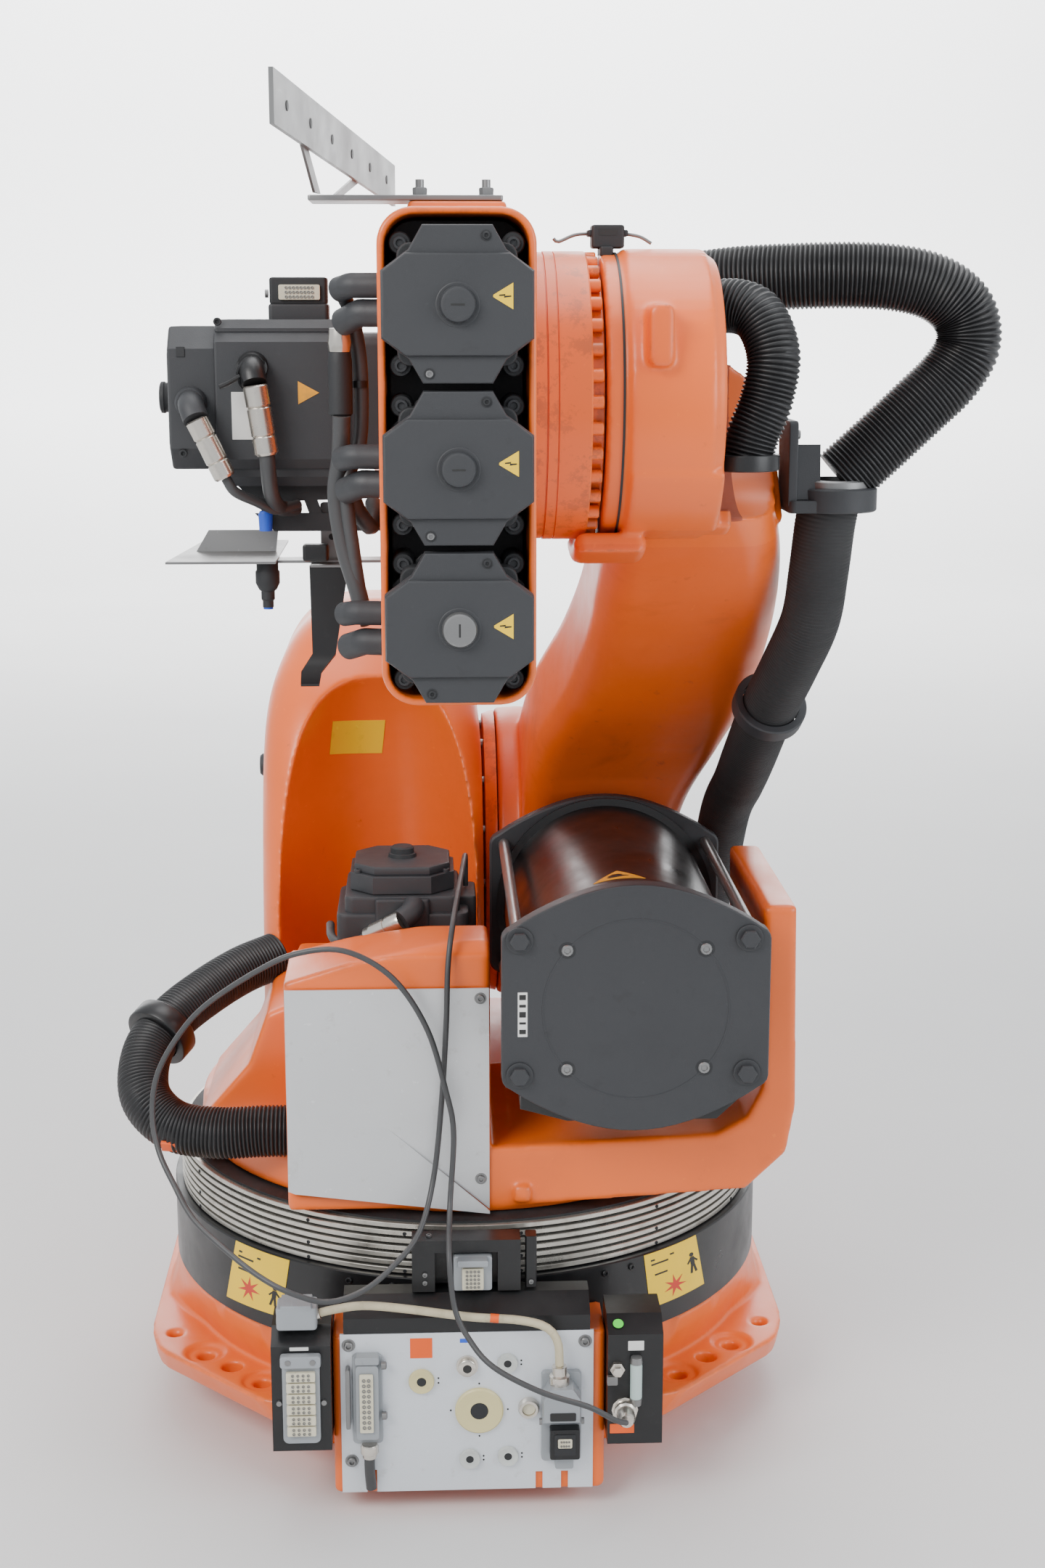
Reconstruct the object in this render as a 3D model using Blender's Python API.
"""Six-axis industrial robot arm of the 210 kg class, folded back in its transport pose.

Metres. +Z up, +Y the way the arm reaches, origin on axis 1 at the underside of the base.
"""
import math

import bmesh
import bpy
from mathutils import Vector

# ---- kinematics ------------------------------------------------------------------------------
A2_Y = 0.350
A2_Z = 0.750
LINK_LENGTH = 1.250
LINK_LEAN = math.radians(40.6)
A3_Y = A2_Y - LINK_LENGTH * math.cos(LINK_LEAN)
A3_Z = A2_Z + LINK_LENGTH * math.sin(LINK_LEAN)
ARM_X = -0.018
ARM_Z = 1.500
WRIST_Y = A3_Y + 1.100
FLANGE_Y = WRIST_Y + 0.230

# ---- base ------------------------------------------------------------------------------------
FOOT_R = 0.395
PLATE_Z0 = 0.086
PLATE_Z1 = 0.130
DRUM_R = 0.466
DRUM_Z0 = 0.205
RING_Z0 = 0.325
COLUMN_Z0 = 0.406
PANEL_Y = -0.533
PANEL_X0 = -0.185
PANEL_X1 = 0.169

# ---- column ----------------------------------------------------------------------------------
COVER_X0 = -0.260
COVER_X1 = 0.029
COVER_Y = -0.424
BAY_X1 = 0.464
TOWER_X0 = -0.322
TOWER_X1 = 0.033
GEAR2_R = 0.250

# ---- counterbalance --------------------------------------------------------------------------
CB_X = 0.220
CB_Z = 0.756
CB_R = 0.158
CB_FRONT_Y = -0.569
CB_FAR_Y = -0.005
CB_PIN_R = 0.110

# ---- forearm ---------------------------------------------------------------------------------
HOUSING_X0 = -0.106
HOUSING_X1 = 0.070
HOUSING_Z0 = 1.227
HOUSING_Z1 = 1.779
HOUSING_Y0 = -0.890
MOTOR_PITCH = 0.176
GEAR3_R = 0.176
GAP = 0.0006

ORANGE = (0.72, 0.16, 0.035)
CHARCOAL = (0.035, 0.037, 0.042)
BLACK = (0.012, 0.012, 0.013)
STEEL = (0.55, 0.56, 0.57)
RUBBER = (0.018, 0.018, 0.020)
BEIGE = (0.45, 0.40, 0.30)

MATERIALS = {}


# ---- helpers ---------------------------------------------------------------------------------
def material(name, colour, metallic=0.0, roughness=0.5):
    if name not in MATERIALS:
        made = bpy.data.materials.new(name)
        made.use_nodes = True
        shader = made.node_tree.nodes["Principled BSDF"]
        shader.inputs["Base Color"].default_value = (*colour, 1.0)
        shader.inputs["Metallic"].default_value = metallic
        shader.inputs["Roughness"].default_value = roughness
        made.diffuse_color = (*colour, 1.0)
        MATERIALS[name] = made
    return MATERIALS[name]


def finish(mesh_bm, name, mat):
    bmesh.ops.remove_doubles(mesh_bm, verts=mesh_bm.verts, dist=1e-6)
    bmesh.ops.recalc_face_normals(mesh_bm, faces=mesh_bm.faces)
    mesh = bpy.data.meshes.new(name)
    mesh_bm.to_mesh(mesh)
    mesh_bm.free()
    obj = bpy.data.objects.new(name, mesh)
    bpy.context.scene.collection.objects.link(obj)
    mesh.materials.append(mat)
    return obj


def loft(name, mat, rings):
    """Closed skin through rings of equal length, capped at both ends."""
    bm = bmesh.new()
    rows = [[bm.verts.new(point) for point in ring] for ring in rings]
    count = len(rows[0])
    for low, high in zip(rows, rows[1:]):
        for i in range(count):
            j = (i + 1) % count
            bm.faces.new((low[i], low[j], high[j], high[i]))
    bm.faces.new(list(reversed(rows[0])))
    bm.faces.new(rows[-1])
    return finish(bm, name, mat)


def box(name, mat, x0, x1, y0, y1, z0, z1):
    ring = [(x0, y0), (x1, y0), (x1, y1), (x0, y1)]
    return loft(name, mat, [[(x, y, z) for x, y in ring] for z in (z0, z1)])


def place(axis, u, v, along):
    if axis == "x":
        return (along, u, v)
    if axis == "y":
        return (u, along, v)
    return (u, v, along)


def circle(radius, count, u0=0.0, v0=0.0, turn=0.5):
    step = 2.0 * math.pi / count
    return [(u0 + radius * math.cos((i + turn) * step), v0 + radius * math.sin((i + turn) * step))
            for i in range(count)]


def prism(name, mat, axis, outline, a0, a1):
    return loft(name, mat, [[place(axis, u, v, a) for u, v in outline] for a in (a0, a1)])


def turned(name, mat, axis, centre, steps, count=40):
    """Solid of revolution: steps are (position along the axis, radius)."""
    rings = [[place(axis, u, v, a) for u, v in circle(r, count, *centre)] for a, r in steps]
    return loft(name, mat, rings)


def ring_body(name, mat, axis, centre, inner, steps, count=40):
    """Ring of revolution: outer steps (position, radius) round a straight bore."""
    bm = bmesh.new()
    profile = list(steps) + [(steps[-1][0], inner), (steps[0][0], inner)]
    rows = []
    for along, radius in profile:
        rows.append([bm.verts.new(place(axis, u, v, along)) for u, v in circle(radius, count, *centre)])
    for k in range(len(rows)):
        low, high = rows[k], rows[(k + 1) % len(rows)]
        for i in range(count):
            j = (i + 1) % count
            bm.faces.new((low[i], low[j], high[j], high[i]))
    return finish(bm, name, mat)


def rounded(u0, u1, v0, v1, radius, steps=3):
    """Rounded rectangle outline, anticlockwise."""
    corners = [(u1 - radius, v1 - radius, 0), (u0 + radius, v1 - radius, 90),
               (u0 + radius, v0 + radius, 180), (u1 - radius, v0 + radius, 270)]
    outline = []
    for cu, cv, start in corners:
        for k in range(steps + 1):
            angle = math.radians(start + 90.0 * k / steps)
            outline.append((cu + radius * math.cos(angle), cv + radius * math.sin(angle)))
    return outline


def chamfered(u0, u1, v0, v1, cut):
    return [(u0 + cut, v0), (u1 - cut, v0), (u1, v0 + cut), (u1, v1 - cut),
            (u1 - cut, v1), (u0 + cut, v1), (u0, v1 - cut), (u0, v0 + cut)]


def boolean(obj, others, operation):
    """Join or cut with the other solids, then drop them."""
    for other in others:
        modifier = obj.modifiers.new(operation, "BOOLEAN")
        modifier.operation = operation
        modifier.solver = "EXACT"
        modifier.object = other
    depsgraph = bpy.context.evaluated_depsgraph_get()
    depsgraph.update()
    mesh = bpy.data.meshes.new_from_object(obj.evaluated_get(depsgraph), depsgraph=depsgraph)
    obj.modifiers.clear()
    obj.data = mesh
    for other in others:
        bpy.data.objects.remove(other, do_unlink=True)
    bm = bmesh.new()
    bm.from_mesh(mesh)
    bmesh.ops.remove_doubles(bm, verts=bm.verts, dist=2e-5)
    bmesh.ops.dissolve_degenerate(bm, dist=2e-5, edges=bm.edges)
    bm.to_mesh(mesh)
    bm.free()
    return obj


def join(obj, *others):
    return boolean(obj, others, "UNION")


def cut(obj, *others):
    return boolean(obj, others, "DIFFERENCE")


def smooth_route(points, spacing):
    """Evenly spaced points along a Catmull-Rom curve through the route points."""
    pts = [Vector(p) for p in points]
    ends = [pts[0] * 2 - pts[1]] + pts + [pts[-1] * 2 - pts[-2]]
    fine = []
    for i in range(1, len(ends) - 2):
        a, b, c, d = ends[i - 1:i + 3]
        for k in range(24):
            t = k / 24.0
            fine.append(0.5 * ((2 * b) + (c - a) * t + (2 * a - 5 * b + 4 * c - d) * t * t
                               + (3 * b - a - 3 * c + d) * t ** 3))
    fine.append(pts[-1])
    length = sum((q - p).length for p, q in zip(fine, fine[1:]))
    count = max(2, round(length / spacing))
    route = [fine[0]]
    walked = 0.0
    for p, q in zip(fine, fine[1:]):
        step = (q - p).length
        while len(route) < count and walked + step >= len(route) * length / count:
            t = (len(route) * length / count - walked) / step
            route.append(p.lerp(q, t))
        walked += step
    return route + [fine[-1]]


def tube(name, mat, points, radius, spacing, resolution=3):
    """Solid round cord or hose swept along its route."""
    route = smooth_route(points, spacing)
    curve = bpy.data.curves.new(name, "CURVE")
    curve.dimensions = "3D"
    curve.bevel_depth = radius
    curve.bevel_resolution = resolution
    curve.use_fill_caps = True
    spline = curve.splines.new("POLY")
    spline.points.add(len(route) - 1)
    for target, point in zip(spline.points, route):
        target.co = (*point, 1.0)
    obj = bpy.data.objects.new(name, curve)
    bpy.context.scene.collection.objects.link(obj)
    curve.materials.append(mat)
    return obj


def arm_point(along, across=0.0):
    """Side-view point (y, z) on the link arm: along from axis 2, across towards its underside."""
    cos, sin = math.cos(LINK_LEAN), math.sin(LINK_LEAN)
    return A2_Y - along * cos - across * sin, A2_Z + along * sin - across * cos


# ---- base ------------------------------------------------------------------------------------
def plate_ring(diagonal, z):
    """Octagon of the foot plate with eased corners; diagonal is how far out its 45 degree sides are."""
    reach = diagonal * math.sqrt(2.0)
    quarter = [(0.490, reach - 0.551), (0.483, reach - 0.511), (0.461, reach - 0.461),
               (reach - 0.425, 0.425), (reach - 0.452, 0.441), (reach - 0.490, 0.447)]
    half = quarter + [(-x, y) for x, y in reversed(quarter)]
    return [(x, y, z) for x, y in half + [(-x, -y) for x, y in half]]


def skirt_rings():
    """Skirt between the foot plate and the drum; it stands back over the four bolting pads."""
    rings = []
    for z, spread in ((PLATE_Z1 - 0.002, 1.0), (PLATE_Z1 + 0.012, 0.9), (DRUM_Z0 - GAP, 0.0)):
        ring = []
        for i in range(64):
            angle = 2.0 * math.pi * (i + 0.5) / 64
            pad = max(0.0, min(1.0, 2.0 * abs(math.sin(2.0 * angle)) - 0.6))
            foot = 0.481 - 0.036 * pad
            radius = 0.464 + (foot - 0.464) * spread
            ring.append((radius * math.cos(angle), radius * math.sin(angle), z))
        rings.append(ring)
    return rings


def build_base(paint, black, steel, charcoal):
    base = turned("base_frame", paint, "z", (0, 0), [(0.0, FOOT_R), (PLATE_Z0 + 0.005, FOOT_R)], 56)
    plate = loft("plate", paint, [plate_ring(0.502, PLATE_Z0), plate_ring(0.524, PLATE_Z1 - 0.004),
                                  plate_ring(0.520, PLATE_Z1)])
    skirt = loft("skirt", paint, skirt_rings())
    block = prism("panel_block", paint, "z", chamfered(-0.196, 0.186, PANEL_Y + 0.004, -0.30, 0.012),
                  0.032, 0.272)
    join(base, plate, skirt, block)
    cut(base, turned("clear", paint, "z", (0, 0), [(DRUM_Z0 - GAP, DRUM_R + GAP), (0.5, DRUM_R + GAP)], 56))
    for u, v, radius in ((0.4515, 0.218, 0.009), (0.3985, 0.283, 0.0125), (0.355, 0.330, 0.015),
                         (0.3075, 0.3735, 0.0125)):
        for x, y in ((u, v), (-u, v), (-u, -v), (u, -v)):
            cut(base, turned("hole", paint, "z", (x, y), [(-0.02, radius), (0.18, radius)], 12))
    ring_body("base_drum", black, "z", (0, 0), 0.360,
              [(DRUM_Z0, DRUM_R), (RING_Z0 - GAP, DRUM_R)], 56)
    ring_body("cable_slide_ring", steel, "z", (0, 0), 0.360,
              [(RING_Z0, 0.455), (COLUMN_Z0 - GAP, 0.455)], 56)
    panel = box("connector_panel", steel, PANEL_X0, PANEL_X1, PANEL_Y, PANEL_Y + 0.0034, 0.036, 0.277)
    slots = [box("slot", steel, x, x + w, PANEL_Y - 0.02, PANEL_Y + 0.02, 0.0, 0.036 + h)
             for x, w, h in ((-0.150, 0.014, 0.034), (0.088, 0.010, 0.026), (0.124, 0.010, 0.026))]
    cut(panel, *slots)
    cover = prism("panel_top_cover", black, "x",
                  [(PANEL_Y, 0.2780), (-0.4664 - 0.004, 0.2780), (-0.4664 - 0.004, 0.322), (-0.50, 0.322),
                   (PANEL_Y, 0.300)], -0.180, 0.164)
    prism("left_connector_box", black, "x",
          [(-0.560, 0.117), (-0.452, 0.117), (-0.4664 - 0.004, 0.215), (-0.4664 - 0.004, 0.292),
           (-0.530, 0.292), (-0.560, 0.274)], -0.279, -0.197)
    prism("right_connector_box", black, "x",
          [(-0.560, 0.117), (-0.452, 0.117), (-0.4664 - 0.004, 0.215), (-0.4664 - 0.004, 0.300),
           (-0.530, 0.300), (-0.560, 0.282)], 0.187, 0.264)
    bracket = box("slide_ring_bracket", black, -0.084, 0.068, -0.506, -0.4700, 0.326, 0.402)
    notch = box("notch", black, -0.052, 0.036, -0.60, -0.478, 0.30, 0.384)
    cut(bracket, notch)
    box("bracket_connector", steel, -0.026, 0.028, -0.530, -0.4790, 0.3265, 0.380)
    build_panel_fittings(steel, charcoal)
    return cover


def build_panel_fittings(steel, charcoal):
    front = PANEL_Y - GAP
    prism("panel_multipin_connector", steel, "y", rounded(-0.170, -0.132, 0.128, 0.250, 0.006),
          front - 0.022, front)
    turned("panel_plug_large", steel, "y", (0.008, 0.166), [(front - 0.010, 0.034), (front, 0.036)], 24)
    hood = prism("panel_hood_connector", steel, "y", rounded(0.096, 0.152, 0.086, 0.212, 0.006),
                 front - 0.045, front)
    gland = turned("gland", steel, "z", (0.120, front - 0.022), [(0.205, 0.013), (0.236, 0.013)], 16)
    join(hood, gland)
    prism("left_box_connector", steel, "y", rounded(-0.262, -0.214, 0.134, 0.262, 0.005),
          -0.574, -0.5606)
    turned("right_box_connector", steel, "y", (0.211, 0.170),
           [(-0.596, 0.011), (-0.575, 0.013), (-0.5606, 0.017)], 20)
    hood2 = prism("loose_cable_hood", charcoal, "z", rounded(-0.272, -0.214, -0.556, -0.512, 0.006),
                  0.2938, 0.332)
    return hood2


# ---- column ----------------------------------------------------------------------------------
def tower_rings():
    """Horizontal outlines of the tower, narrowing into a dome."""
    levels = [(COLUMN_Z0 + 0.03, 1.00, -0.060, 0.600), (0.620, 1.00, -0.040, 0.610),
              (0.820, 1.00, -0.005, 0.620), (0.960, 0.99, 0.035, 0.610), (1.040, 0.955, 0.075, 0.590),
              (1.100, 0.86, 0.120, 0.555), (1.150, 0.70, 0.175, 0.510), (1.185, 0.48, 0.235, 0.455),
              (1.200, 0.24, 0.290, 0.400)]
    middle = (TOWER_X0 + TOWER_X1) / 2.0
    half = (TOWER_X1 - TOWER_X0) / 2.0
    rings = []
    for z, scale, y0, y1 in levels:
        radius = min(0.085, (y1 - y0) * 0.32, half * scale * 0.6)
        outline = rounded(middle - half * scale, middle + half * scale, y0, y1, radius, 3)
        rings.append([(x, y, z) for x, y in outline])
    return rings


def bowl_cutter(paint):
    rings = []
    for k in range(1, 12):
        angle = math.radians(-90.0 + 15.0 * k)
        z = 0.745 + 0.405 * math.sin(angle)
        s = math.cos(angle) ** 0.62
        outline = [(-0.134 + 0.158 * s * math.copysign(abs(math.cos(t)) ** 0.8, math.cos(t)),
                    -0.060 + 0.270 * s * math.copysign(abs(math.sin(t)) ** 0.8, math.sin(t)))
                   for t in (2 * math.pi * (i + 0.5) / 24 for i in range(24))]
        rings.append([(x, y, z) for x, y in outline])
    return loft("bowl", paint, rings)


def build_column(paint, black, steel, charcoal):
    column = turned("rotating_column", paint, "z", (0, 0), [(COLUMN_Z0, 0.422), (0.462, 0.416)], 48)
    tower = loft("tower", paint, tower_rings())
    cut(tower, bowl_cutter(paint))
    shelf = prism("shelf", paint, "x", [(COVER_Y, COLUMN_Z0 + 0.008), (-0.040, COLUMN_Z0 + 0.008),
                                        (-0.040, 0.700), (-0.250, 0.730), (-0.300, 0.800),
                                        (-0.400, 0.806), (COVER_Y, 0.790)], COVER_X0, COVER_X1)
    well = prism("well", paint, "z", rounded(-0.205, 0.018, -0.262, -0.010, 0.02), 0.500, 1.0)
    hollow = box("hollow", paint, -0.250, 0.019, -0.50, -0.286, 0.440, 0.735)
    cut(shelf, well, hollow)
    cradle = prism("cradle", paint, "y", [(COVER_X1 - 0.02, 0.412), (0.395, 0.436), (0.452, 0.490),
                                          (BAY_X1, 0.560), (BAY_X1 - 0.006, 0.856), (0.412, 0.856),
                                          (0.417, 0.590), (0.395, 0.545), (0.350, 0.520),
                                          (COVER_X1 - 0.02, 0.505)], COVER_Y, -0.060)
    rib = prism("rib", paint, "y", [(-0.415, COLUMN_Z0 + 0.01), (COVER_X0 + 0.01, COLUMN_Z0 + 0.01),
                                    (COVER_X0 + 0.01, 0.660), (-0.300, 0.640), (-0.330, 0.560),
                                    (-0.400, 0.480)], -0.215, 0.060)
    lug = box("lug", paint, 0.062, 0.086, COVER_Y - 0.012, COVER_Y + 0.02, 0.425, 0.450)
    join(column, tower, shelf, cradle, rib, lug)
    clear = prism("clear", paint, "z", rounded(-0.205, 0.018, -0.262, -0.010, 0.02), 0.4995, 1.3)
    cut(column, clear)
    bore = turned("bore", paint, "x", (A2_Y, A2_Z + 0.155), [(TOWER_X0 - 0.05, 0.078), (-0.235, 0.078)], 24)
    cut(column, bore)
    prism("sheet_cover", steel, "x",
          [(COVER_Y - 0.0042, 0.440), (COVER_Y - GAP, 0.440), (COVER_Y - GAP, 0.744),
           (COVER_Y - 0.0042, 0.744)], COVER_X0 + 0.002, COVER_X1 - 0.002)
    turned("axis_2_gear", paint, "x", (A2_Y, A2_Z),
           [(TOWER_X1 + GAP, 0.205), (TOWER_X1 + 0.006, 0.238), (0.058, GEAR2_R - 0.006)], 48)
    build_axis_1_motor(charcoal, steel)
    motor2 = prism("axis_2_motor", charcoal, "x",
                   rounded(A2_Y - 0.052, A2_Y + 0.052, A2_Z + 0.103, A2_Z + 0.207, 0.012, 2),
                   TOWER_X0 - 0.006, -0.2356)
    cap = turned("cap", charcoal, "x", (A2_Y, A2_Z + 0.155),
                 [(TOWER_X0 - 0.022, 0.018), (TOWER_X0 - 0.003, 0.020)], 20)
    return column, join(motor2, cap)


def build_axis_1_motor(charcoal, steel):
    body = prism("axis_1_motor", charcoal, "z", rounded(-0.192, 0.004, -0.238, -0.062, 0.015, 2),
                 0.500 + GAP, 0.800)
    head = prism("head", charcoal, "z", rounded(-0.180, -0.010, -0.232, -0.068, 0.015, 2), 0.79, 0.825)
    side = box("side", charcoal, -0.020, 0.016, -0.190, -0.100, 0.72, 0.815)
    join(body, head, side)
    cover = prism("axis_1_motor_cover", charcoal, "z", chamfered(-0.172, -0.018, -0.226, -0.074, 0.034),
                  0.825 + GAP, 0.866)
    cap = turned("cap", charcoal, "z", (-0.095, -0.150), [(0.860, 0.021), (0.882, 0.018)], 20)
    return join(cover, cap)


# ---- counterbalance --------------------------------------------------------------------------
def plate_outline():
    """Hexagon-like plate with arched top and bottom."""
    top = [(0.180, 0.100), (0.176, 0.108), (0.112, 0.144), (0.060, 0.166), (0.0, 0.172)]
    right = [(x, z) for x, z in top]
    left = [(-x, z) for x, z in reversed(top[:-1])]
    upper = right + left
    lower = [(x, -z) for x, z in reversed(upper)]
    return [(CB_X + x, CB_Z + z) for x, z in upper + lower]


def build_counterbalance(black, charcoal, steel):
    outline = plate_outline()
    front = prism("counterbalance_front_plate", charcoal, "y", outline, CB_FRONT_Y, -0.541)
    cylinder = ring_body("counterbalance_cylinder", black, "y", (CB_X, CB_Z), 0.112,
                         [(-0.5406, CB_R + 0.012), (-0.528, CB_R + 0.012), (-0.520, CB_R),
                          (-0.046, CB_R), (-0.038, CB_R + 0.012), (-0.0306, CB_R + 0.012)], 48)
    far = prism("counterbalance_far_plate", charcoal, "y", outline, -0.030, CB_FAR_Y)
    cut(far, turned("mouth", charcoal, "y", (CB_X, CB_Z), [(-0.1, 0.084), (0.1, 0.084)], 32))
    corners = ((1, 1, "right_top"), (-1, 1, "left_top"), (1, -1, "right_low"), (-1, -1, "left_low"))
    for sx, sz, label in corners:
        turned("tie_rod_" + label, steel, "y", (CB_X + sx * 0.158, CB_Z + sz * 0.098),
               [(-0.5406, 0.0085), (-0.0306, 0.0085)], 10)
    pin_y = A2_Y - CB_PIN_R
    rod = turned("counterbalance_rod", steel, "y", (CB_X, CB_Z),
                 [(pin_y - 0.520, 0.045), (pin_y - 0.495, 0.045), (pin_y - 0.4949, 0.023),
                  (pin_y - 0.020, 0.023)], 24)
    eye = turned("eye", steel, "x", (pin_y, CB_Z), [(CB_X - 0.028, 0.036), (CB_X + 0.028, 0.036)], 24)
    join(rod, eye)
    cut(rod, turned("hole", steel, "x", (pin_y, CB_Z), [(CB_X - 0.1, 0.0175), (CB_X + 0.1, 0.0175)], 20))
    pin = turned("counterbalance_pin", steel, "x", (pin_y, CB_Z),
                 [(CB_X - 0.0336, 0.0165), (CB_X + 0.0336, 0.0165)], 20)
    return front, cylinder, rod, pin


# ---- link arm --------------------------------------------------------------------------------
def link_section(along, x0, x1, front, back):
    """Rounded section of the arm; front and back are its half thicknesses."""
    radius = min(0.045, (x1 - x0) * 0.3)
    ring = []
    for x, across in rounded(x0, x1, -front, back, radius, 3):
        y, z = arm_point(along, across)
        ring.append((x, y, z))
    return ring


def build_link_arm(paint, charcoal):
    sections = [(0.02, 0.100, 0.300, 0.215, 0.215), (0.14, 0.098, 0.330, 0.190, 0.165),
                (0.30, 0.098, 0.360, 0.140, 0.097), (0.46, 0.112, 0.400, 0.115, 0.080),
                (0.62, 0.150, 0.420, 0.105, 0.090), (0.78, 0.182, 0.424, 0.105, 0.092),
                (0.94, 0.186, 0.412, 0.115, 0.105), (1.08, 0.184, 0.385, 0.125, 0.118),
                (1.19, 0.184, 0.355, 0.125, 0.122)]
    arm = loft("link_arm", paint, [link_section(*s) for s in sections])
    root = turned("root", paint, "x", (A2_Y, A2_Z), [(0.0586, GEAR2_R - 0.002), (0.100, GEAR2_R),
                                                     (0.285, GEAR2_R - 0.020), (0.300, 0.210)], 48)
    head = turned("head", paint, "x", (A3_Y, A3_Z), [(0.1784, 0.168), (0.186, 0.176), (0.285, 0.176),
                                                     (0.300, 0.166)], 40)
    neck = turned("neck", paint, "x", (A3_Y, A3_Z), [(0.1576, 0.158), (0.190, 0.158)], 40)
    join(arm, root, head, neck)
    lug = prism("lug", paint, "y", rounded(0.222, 0.246, 1.605, 1.662, 0.008, 2), A3_Y - 0.195, A3_Y - 0.13)
    pad = box("pad", paint, 0.330, 0.4104, -0.535, -0.452, 1.400, 1.535)
    join(arm, lug, pad)
    pocket = turned("pocket", paint, "x", (A3_Y, A3_Z), [(0.215, 0.112), (0.262, 0.148), (0.50, 0.152)], 32)
    slot = box("slot", paint, CB_X - 0.034, CB_X + 0.034, 0.02, 0.66, 0.42, A2_Z + 0.052)
    cut(arm, pocket, slot)
    return arm


def build_link_fittings(rubber, charcoal, black):
    bracket = turned("hose_bracket", charcoal, "z", (0.478, -0.497), [(1.412, 0.056), (1.444, 0.056)], 32)
    plate = box("plate", charcoal, 0.4110, 0.478, -0.545, -0.449, 1.412, 1.444)
    upstand = box("upstand", charcoal, 0.4110, 0.426, -0.540, -0.452, 1.416, 1.530)
    join(bracket, plate, upstand)
    big = [(0.106, -0.330, 1.610), (0.130, -0.336, 1.628), (0.200, -0.372, 1.670), (0.310, -0.432, 1.702),
           (0.420, -0.470, 1.708), (0.540, -0.492, 1.706), (0.620, -0.500, 1.688), (0.655, -0.500, 1.640),
           (0.624, -0.500, 1.575), (0.562, -0.500, 1.516), (0.504, -0.498, 1.488)]
    tube("big_hose", rubber, big, 0.0425, 0.050, 3)
    small = [(0.250, -0.600, 1.600), (0.268, -0.608, 1.642), (0.304, -0.630, 1.672), (0.346, -0.660, 1.664),
             (0.365, -0.682, 1.618), (0.358, -0.687, 1.565), (0.342, -0.687, 1.521)]
    tube("small_hose", rubber, small, 0.0330, 0.040, 3)
    ring = turned("small_hose_clamp", black, "z", (0.331, -0.686), [(1.478, 0.042), (1.4985, 0.044)], 28)
    foot = box("foot", black, 0.322, 0.345, -0.69, -0.648, 1.478, 1.494)
    join(ring, foot)
    side = [(0.476, -0.496, 1.3960), (0.470, -0.480, 1.350), (0.462, -0.450, 1.270), (0.448, -0.390, 1.185),
            (0.432, -0.310, 1.105), (0.424, -0.200, 1.030), (0.420, -0.070, 0.968), (0.420, 0.040, 0.890),
            (0.412, 0.110, 0.780), (0.388, 0.150, 0.640), (0.356, 0.160, 0.535), (0.348, 0.161, 0.4700)]
    tube("side_hose", rubber, side, 0.040, 0.050, 3)
    route = smooth_route(side, 0.050)
    nearest = min(range(len(route) - 1), key=lambda k: abs(route[k].z + route[k + 1].z - 2.0 * 1.110))
    ring_clamp(black, route[nearest], route[nearest + 1])


def ring_clamp(black, start, end):
    """Ring clamp low on the side hose, square to its run."""
    centre = (start + end) / 2.0
    axis = (end - start).normalized()
    side = axis.cross(Vector((1, 0, 0))).normalized()
    up = axis.cross(side)
    bm = bmesh.new()
    rows = []
    for along, radius in ((-0.012, 0.0418), (-0.012, 0.052), (0.012, 0.052), (0.012, 0.0418)):
        rows.append([bm.verts.new(centre + axis * along + side * u + up * v)
                     for u, v in circle(radius, 28)])
    for k in range(4):
        low, high = rows[k], rows[(k + 1) % 4]
        for i in range(28):
            j = (i + 1) % 28
            bm.faces.new((low[i], low[j], high[j], high[i]))
    return finish(bm, "side_hose_clamp", black)


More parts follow.
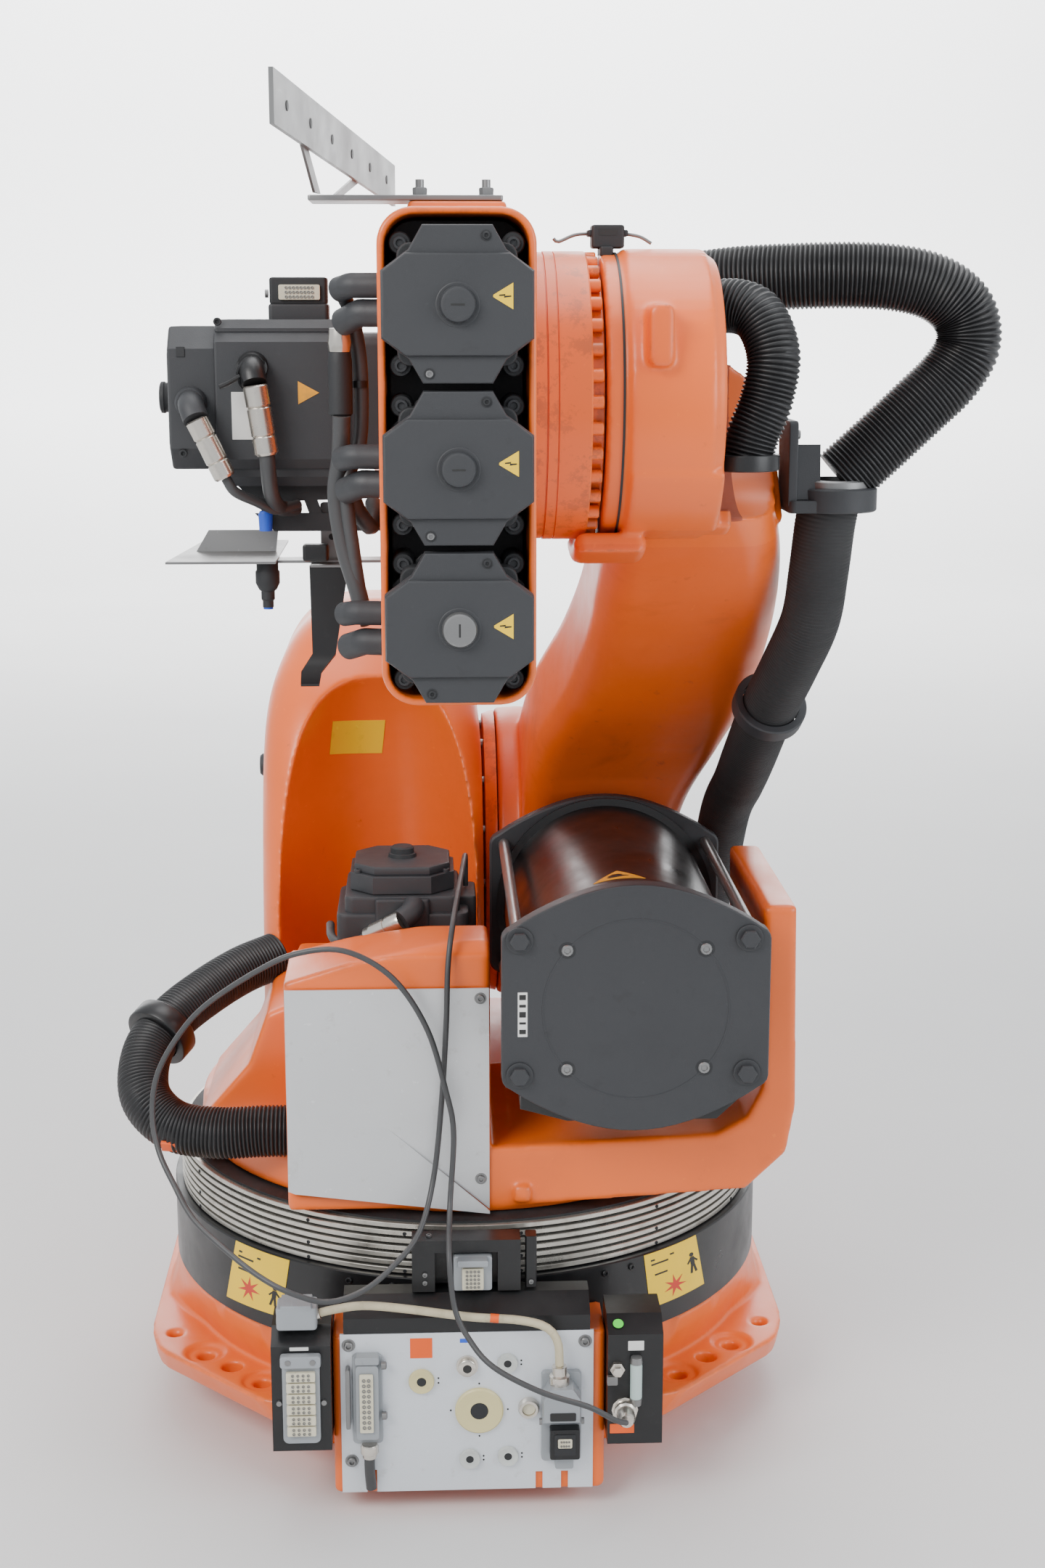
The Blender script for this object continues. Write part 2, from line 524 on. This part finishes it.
# ---- forearm ---------------------------------------------------------------------------------
def build_forearm(paint, charcoal, steel, black):
    mid = ARM_X
    outer = rounded(HOUSING_X0, HOUSING_X1, HOUSING_Z0, HOUSING_Z1, 0.040, 4)
    housing = prism("forearm_housing", paint, "y", outer, HOUSING_Y0, -0.440)
    inner = rounded(HOUSING_X0 + 0.011, HOUSING_X1 - 0.011, HOUSING_Z0 + 0.011, HOUSING_Z1 - 0.011, 0.030, 4)
    cut(housing, prism("hollow", paint, "y", inner, HOUSING_Y0 - 0.1, -0.620))
    count = 20
    nose = []
    for y, half_x, half_z, power in ((-0.450, 0.0875, 0.200, 0.45), (-0.380, 0.090, 0.165, 0.55),
                                     (-0.300, 0.108, 0.128, 0.8), (-0.240, 0.118, 0.118, 1.0),
                                     (0.060, 0.110, 0.110, 1.0), (0.072, 0.120, 0.120, 1.0),
                                     (0.100, 0.120, 0.120, 1.0)):
        ring = []
        for i in range(count):
            t = 2.0 * math.pi * (i + 0.5) / count
            c, s = math.cos(t), math.sin(t)
            ring.append((mid + half_x * math.copysign(abs(c) ** power, c), y,
                         ARM_Z + half_z * math.copysign(abs(s) ** power, s)))
        nose.append(ring)
    boss = box("boss", paint, -0.072, 0.040, -0.805, -0.700, 1.770, 1.7884)
    join(housing, loft("nose", paint, nose), boss)
    plate = rounded(HOUSING_X0 + 0.0116, HOUSING_X1 - 0.0116, HOUSING_Z0 + 0.0116, HOUSING_Z1 - 0.0116,
                    0.029, 4)
    prism("motor_mounting_plate", black, "y", plate, -0.812, -0.794)
    for k, label in ((1, "upper"), (0, "middle"), (-1, "lower")):
        z = ARM_Z - 0.002 + k * MOTOR_PITCH
        x0, x1 = mid - 0.083, mid + 0.083
        cover = prism("wrist_motor_" + label, charcoal, "y",
                      [(x0 + 0.045, z - 0.084), (x1 - 0.045, z - 0.084), (x1 - 0.030, z - 0.060),
                       (x1, z - 0.036), (x1, z + 0.036), (x1 - 0.030, z + 0.060),
                       (x1 - 0.045, z + 0.084), (x0 + 0.045, z + 0.084), (x0 + 0.030, z + 0.060),
                       (x0, z + 0.036), (x0, z - 0.036), (x0 + 0.030, z - 0.060)], -0.940, -0.9056)
        body = prism("body", charcoal, "y",
                     rounded(mid - 0.068, mid + 0.068, z - 0.068, z + 0.068, 0.014, 2), -0.906, -0.8126)
        join(cover, body)
        turned("motor_cap_" + label, steel, "y", (mid, z), [(-0.952, 0.0185), (-0.9406, 0.0205)], 20)
    build_axis_3_drive(paint, charcoal, steel)
    build_forearm_fittings(charcoal, steel, black)
    return housing


def build_axis_3_drive(paint, charcoal, steel):
    centre = (A3_Y, A3_Z)
    turned("axis_3_gear", paint, "x", centre,
           [(HOUSING_X1 + GAP, GEAR3_R - 0.003), (0.076, GEAR3_R), (0.141, GEAR3_R),
            (0.142, GEAR3_R - 0.003), (0.1425, 0.170), (0.1568, 0.170)], 48)
    flange = prism("axis_3_motor", charcoal, "x",
                   rounded(A3_Y - 0.078, A3_Y + 0.078, A3_Z - 0.078, A3_Z + 0.078, 0.015, 2),
                   -0.152, HOUSING_X0 - GAP)
    body = prism("body", charcoal, "x", chamfered(A3_Y - 0.092, A3_Y + 0.092, A3_Z - 0.094, A3_Z + 0.104,
                                                  0.026), -0.305, -0.150)
    tail = prism("tail", charcoal, "x", chamfered(A3_Y - 0.080, A3_Y + 0.080, A3_Z - 0.086, A3_Z + 0.084,
                                                  0.030), -0.362, -0.300)
    join(flange, body, tail)
    turned("axis_3_motor_cap", charcoal, "x", centre, [(-0.380, 0.0185), (-0.3626, 0.0205)], 20)
    socket = box("socket", charcoal, -0.243, -0.170, A3_Y - 0.030, A3_Y + 0.010, 1.650, 1.708)
    join(flange, socket)
    plug = turned("axis_3_power_plug", steel, "z", (-0.250, -0.712), [(1.500, 0.0150), (1.585, 0.0140)], 16)
    elbow = turned("elbow", steel, "y", (-0.250, 1.592), [(-0.722, 0.014), (A3_Y - 0.0926, 0.014)], 16)
    join(plug, elbow)
    plug = loft("axis_3_encoder_plug", steel, slanted((-0.330, -0.708, 1.560), (-0.300, -0.712, 1.480), 0.0135))
    elbow = turned("elbow", steel, "y", (-0.330, 1.562), [(-0.720, 0.013), (A3_Y - 0.0806, 0.013)], 16)
    join(plug, elbow)


def slanted(start, end, radius, count=16):
    start, end = Vector(start), Vector(end)
    axis = (end - start).normalized()
    side = axis.cross(Vector((0, 1, 0))).normalized()
    up = axis.cross(side)
    return [[centre + side * u + up * v for u, v in circle(radius, count)] for centre in (start, end)]


def build_forearm_fittings(charcoal, steel, black):
    plate = box("top_bracket_plate", steel, -0.184, 0.036, -0.800, -0.704, 1.7890, 1.7950)
    bar = [(-1.050, 1.850), (-1.050, 1.907), (-0.350, 1.856), (-0.350, 1.802), (-0.702, 1.7895),
           (-0.7025, 1.7955), (-0.560, 1.815), (-0.740, 1.852), (-0.795, 1.797), (-0.7955, 1.7895),
           (-0.835, 1.7895), (-0.900, 1.848)]
    rings = []
    for across in (0.0, 0.006):
        ring = []
        for y, z in bar:
            x = -0.160 + 0.16 * (y + 0.75) + across
            ring.append((x, y, z))
        rings.append(ring)
    join(plate, loft("bar", steel, rings))
    tray = box("tray", steel, -0.372, -0.238, -0.680, -0.420, 1.366, 1.3695)
    strip = box("strip", steel, -0.245, HOUSING_X0 - GAP, -0.640, -0.600, 1.3625, 1.3665)
    join(tray, strip)
    hook = prism("cable_strap", black, "x", [(-0.660, 1.362), (-0.655, 1.362), (-0.655, 1.250),
                                             (-0.690, 1.216), (-0.694, 1.220), (-0.660, 1.254)],
                 -0.200, -0.172)
    return hook


# ---- wrist -----------------------------------------------------------------------------------
def build_wrist(paint, charcoal, steel):
    centre = (ARM_X, ARM_Z)
    roll = turned("wrist_roll_body", paint, "y", centre,
                  [(0.1006, 0.118), (0.130, 0.118), (0.140, 0.108), (WRIST_Y - 0.215, 0.100),
                   (WRIST_Y - 0.200, 0.085)], 32)
    stem = box("stem", paint, ARM_X - 0.050, ARM_X + 0.050, WRIST_Y - 0.22, WRIST_Y, ARM_Z - 0.055,
               ARM_Z + 0.055)
    hub = turned("hub", paint, "x", (WRIST_Y, ARM_Z), [(ARM_X - 0.050, 0.080), (ARM_X + 0.050, 0.080)], 32)
    join(roll, stem, hub)
    front = turned("wrist_bend_body", paint, "y", centre,
                   [(WRIST_Y + 0.112, 0.076), (FLANGE_Y - 0.035, 0.076), (FLANGE_Y - 0.0306, 0.070)], 32)
    for side in (-1, 1):
        near, far = ARM_X + side * 0.0506, ARM_X + side * 0.080
        cheek = turned("cheek", paint, "x", (WRIST_Y, ARM_Z), [(min(near, far), 0.076), (max(near, far), 0.076)],
                       32)
        bar = box("bar", paint, min(near, far), max(near, far), WRIST_Y, WRIST_Y + 0.125, ARM_Z - 0.060,
                  ARM_Z + 0.060)
        join(front, cheek, bar)
    flange = turned("tool_flange", steel, "y", centre,
                    [(FLANGE_Y - 0.030, 0.070), (FLANGE_Y - 0.012, 0.080), (FLANGE_Y, 0.080)], 32)
    cutters = [turned("spigot", steel, "y", centre, [(FLANGE_Y - 0.008, 0.040), (FLANGE_Y + 0.1, 0.040)], 24)]
    for k in range(6):
        angle = math.radians(60.0 * k + 30.0)
        u, v = ARM_X + 0.0625 * math.cos(angle), ARM_Z + 0.0625 * math.sin(angle)
        cutters.append(turned("hole", steel, "y", (u, v), [(FLANGE_Y - 0.010, 0.0055), (FLANGE_Y + 0.1, 0.0055)],
                              8))
    cut(flange, *cutters)
    return roll, charcoal


# ---- cords and held hoses ----------------------------------------------------------------------
def build_cords(rubber, beige, black):
    base_hose = [(-0.2620, -0.330, 0.500), (-0.300, -0.330, 0.500), (-0.370, -0.325, 0.497),
                 (-0.435, -0.305, 0.503), (-0.478, -0.265, 0.535), (-0.484, -0.200, 0.580),
                 (-0.455, -0.140, 0.608), (-0.410, -0.085, 0.624), (-0.365, -0.040, 0.634)]
    tube("base_hose", rubber, base_hose, 0.038, 0.045, 3)
    thin = [(0.000, -0.140, 0.8158), (0.000, -0.144, 0.848), (-0.001, -0.175, 0.872), (-0.006, -0.240, 0.868),
            (-0.022, -0.400, 0.832), (-0.030, -0.440, 0.780), (-0.033, -0.448, 0.700), (-0.040, -0.450, 0.590),
            (-0.052, -0.462, 0.481), (-0.073, -0.506, 0.416), (-0.108, -0.538, 0.382), (-0.149, -0.560, 0.356),
            (-0.199, -0.578, 0.348), (-0.250, -0.580, 0.364), (-0.293, -0.562, 0.381), (-0.336, -0.532, 0.403),
            (-0.386, -0.490, 0.433), (-0.418, -0.450, 0.472), (-0.440, -0.420, 0.507), (-0.450, -0.400, 0.553),
            (-0.442, -0.390, 0.611), (-0.410, -0.390, 0.669), (-0.368, -0.400, 0.717), (-0.293, -0.440, 0.777),
            (-0.236, -0.455, 0.806), (-0.171, -0.464, 0.811), (-0.107, -0.466, 0.773), (-0.060, -0.466, 0.699),
            (-0.034, -0.466, 0.606), (-0.024, -0.468, 0.545), (-0.030, -0.490, 0.448), (-0.032, -0.548, 0.396),
            (-0.025, -0.566, 0.329), (-0.004, -0.585, 0.289), (0.028, -0.610, 0.262), (0.091, -0.630, 0.235),
            (0.155, -0.632, 0.213), (0.192, -0.620, 0.186), (0.2095, -0.6006, 0.171)]
    tube("axis_1_cable", black, thin, 0.004, 0.036, 2)
    jacket = [(-0.2105, -0.535, 0.3120), (-0.190, -0.538, 0.318), (-0.150, -0.541, 0.324),
              (-0.090, -0.542, 0.318), (-0.004, -0.545, 0.306), (0.062, -0.549, 0.302),
              (0.100, -0.553, 0.293), (0.117, -0.556, 0.272), (0.120, -0.5562, 0.2368)]
    tube("hood_cable", beige, jacket, 0.006, 0.022, 2)


def main():
    for obj in list(bpy.data.objects):
        bpy.data.objects.remove(obj, do_unlink=True)
    paint = material("orange_paint", ORANGE, 0.0, 0.35)
    black = material("black_paint", BLACK, 0.0, 0.45)
    charcoal = material("charcoal_casting", CHARCOAL, 0.1, 0.6)
    steel = material("bare_metal", STEEL, 0.9, 0.35)
    rubber = material("hose_rubber", RUBBER, 0.0, 0.7)
    beige = material("beige_jacket", BEIGE, 0.0, 0.6)
    build_base(paint, black, steel, charcoal)
    build_column(paint, black, steel, charcoal)
    build_counterbalance(black, charcoal, steel)
    build_link_arm(paint, charcoal)
    build_link_fittings(rubber, charcoal, black)
    build_forearm(paint, charcoal, steel, black)
    build_wrist(paint, charcoal, steel)
    build_cords(rubber, beige, black)


main()
